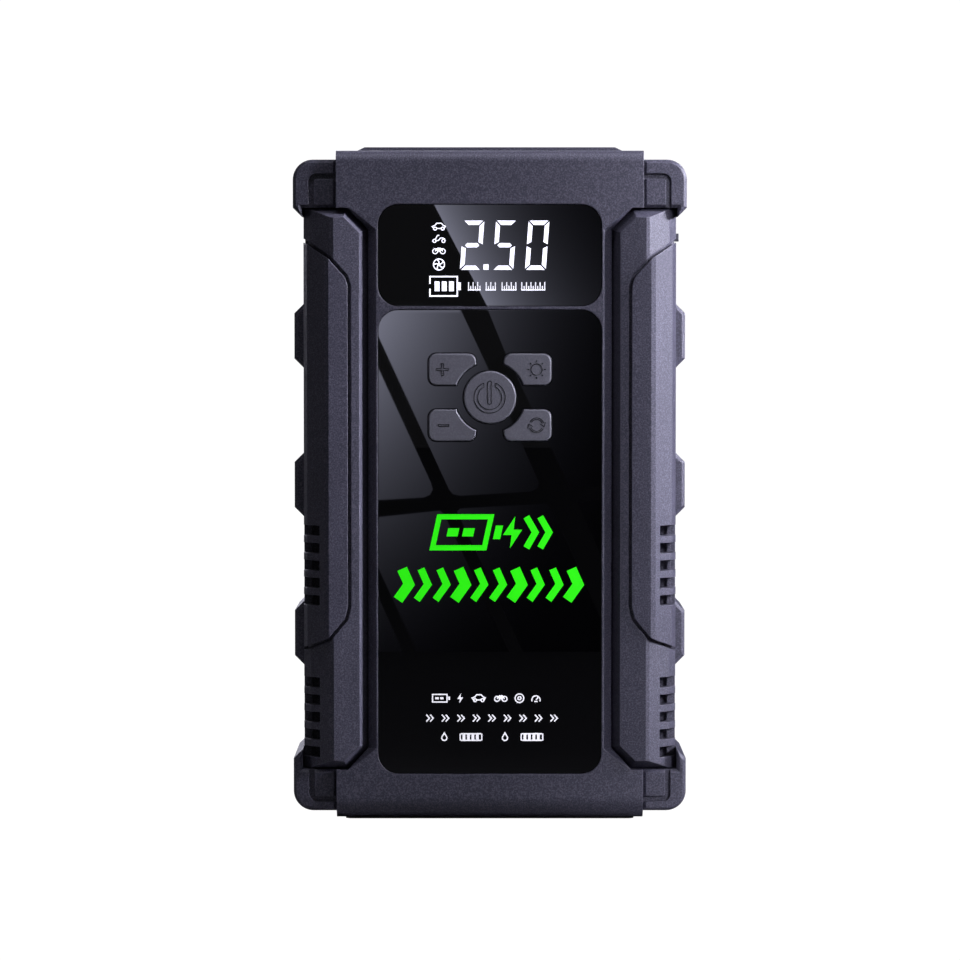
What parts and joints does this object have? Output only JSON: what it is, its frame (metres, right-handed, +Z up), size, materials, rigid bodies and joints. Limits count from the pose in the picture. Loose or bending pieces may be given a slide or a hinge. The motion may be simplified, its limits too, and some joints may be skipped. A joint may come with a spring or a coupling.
{
  "type": "jump starter pack",
  "caption": "Upright hand-held jump starter and air compressor pack with gloss display and key panel, angular side covers, knuckled side guards and lidded ports.",
  "frame": {"origin": "middle of the footprint, on the surface that the base pad rests on", "axes": "+X to the pack's right as its user faces the keys, -Y out of the key panel, +Z up along its length"},
  "size_m": [0.114, 0.055, 0.1957],
  "materials": {
    "casing": "fine textured matt moulding",
    "guard_plastic": "fine textured matt moulding",
    "fairing_plastic": "fine textured matt moulding",
    "grip_plastic": "fine textured matt moulding",
    "lid_rubber": "soft matt",
    "pad_rubber": "soft matt",
    "display_gloss": "high gloss",
    "panel_gloss": "high gloss",
    "power_key": "satin",
    "small_keys": "satin",
    "label": "satin foil, blank",
    "display_glass": "dark glass",
    "board": "solder mask",
    "switch": "satin",
    "sink": "die cast",
    "chip": "moulded epoxy",
    "cell_wrap": "foil laminate",
    "tray": "moulded",
    "copper": "bare copper strip",
    "motor_steel": "zinc plated",
    "pinion_brass": "machined",
    "frame_steel": "stamped",
    "pin_steel": "ground",
    "gear_nylon": "moulded nylon",
    "rod_nylon": "glass filled nylon",
    "cup_rubber": "moulded",
    "tube_rubber": "extruded",
    "outlet_brass": "machined",
    "socket_plastic": "moulded",
    "contact_metal": "gold flash",
    "port_metal": "nickel plated",
    "lens": "clear",
    "reflector": "vacuum metallised",
    "screw_steel": "black oxide"
  },
  "bodies": {
    "casing": {"air_outlet": "outlet_brass", "air_tube": "tube_rubber", "base_pad": "pad_rubber", "battery_cell_1": "cell_wrap", "battery_cell_2": "cell_wrap", "battery_cell_3": "cell_wrap", "battery_cell_4": "cell_wrap", "battery_tray": "tray", "board_screws": "screw_steel", "casing_screws": "screw_steel", "compressor_screws": "screw_steel", "control_panel": "panel_gloss", "controller_chip": "chip", "cylinder": "sink", "cylinder_head": "sink", "display_module": "display_glass", "display_window": "display_gloss", "fairing_screws": "screw_steel", "front_casing": "casing", "gear_axle": "pin_steel", "gear_frame": "frame_steel", "guard_screws": "screw_steel", "heat_sink": "sink", "jump_contacts": "contact_metal", "jump_socket": "socket_plastic", "key_switches": "switch", "left_fairing": "fairing_plastic", "left_grip": "grip_plastic", "left_guard": "guard_plastic", "main_board": "board", "motor": "motor_steel", "negative_busbar": "copper", "positive_busbar": "copper", "rear_casing": "casing", "rear_label": "label", "right_fairing": "fairing_plastic", "right_grip": "grip_plastic", "right_guard": "guard_plastic", "side_cover_pin": "pin_steel", "top_cap": "casing", "torch_board": "board", "torch_lens": "lens", "torch_reflector": "reflector", "usb_a_socket": "port_metal", "usb_board": "board", "usb_c_socket": "port_metal", "usb_cover_pin": "pin_steel"},
    "power_key_body": {"power_button": "power_key"},
    "plus_key_body": {"plus_button": "small_keys"},
    "minus_key_body": {"minus_button": "small_keys"},
    "light_key_body": {"light_button": "small_keys"},
    "mode_key_body": {"mode_button": "small_keys"},
    "side_lid": {"side_port_cover": "lid_rubber"},
    "usb_lid": {"usb_cover": "lid_rubber"},
    "crank": {"crank_gear": "gear_nylon"},
    "pinion": {"motor_pinion": "pinion_brass"},
    "piston": {"piston_rod": "rod_nylon", "piston_cup": "cup_rubber"}
  },
  "joints": [
    {"name": "power_press", "type": "slide", "parent": "casing", "child": "power_key_body", "axis": [0, 1, 0], "range_m": [0, 0.0008], "stiffness_N_per_m": 1500},
    {"name": "plus_press", "type": "slide", "parent": "casing", "child": "plus_key_body", "axis": [0, 1, 0], "range_m": [0, 0.0008], "stiffness_N_per_m": 1500},
    {"name": "minus_press", "type": "slide", "parent": "casing", "child": "minus_key_body", "axis": [0, 1, 0], "range_m": [0, 0.0008], "stiffness_N_per_m": 1500},
    {"name": "light_press", "type": "slide", "parent": "casing", "child": "light_key_body", "axis": [0, 1, 0], "range_m": [0, 0.0008], "stiffness_N_per_m": 1500},
    {"name": "mode_press", "type": "slide", "parent": "casing", "child": "mode_key_body", "axis": [0, 1, 0], "range_m": [0, 0.0008], "stiffness_N_per_m": 1500},
    {"name": "side_lid_hinge", "type": "hinge", "parent": "casing", "child": "side_lid", "pos_m": [0.0528, 0.0157, 0.1625], "axis": [0, 0, 1], "range_deg": [0, 100]},
    {"name": "usb_lid_hinge", "type": "hinge", "parent": "casing", "child": "usb_lid", "pos_m": [0, 0.0107, 0.1945], "axis": [-1, 0, 0], "range_deg": [0, 100]},
    {"name": "crank_spin", "type": "hinge", "parent": "casing", "child": "crank", "pos_m": [0.02, 0.0082, 0.04125], "axis": [0, 1, 0], "continuous": true},
    {"name": "motor_spin", "type": "hinge", "parent": "casing", "child": "pinion", "pos_m": [0.02, 0.0082, 0.021], "axis": [0, 1, 0], "continuous": true},
    {"name": "piston_slide", "type": "slide", "parent": "casing", "child": "piston", "axis": [0, 0, 1], "range_m": [-0.011, 0]}
  ],
  "couplings": [
    {"joint": "motor_spin", "follows": "crank_spin", "ratio": -4}
  ]
}
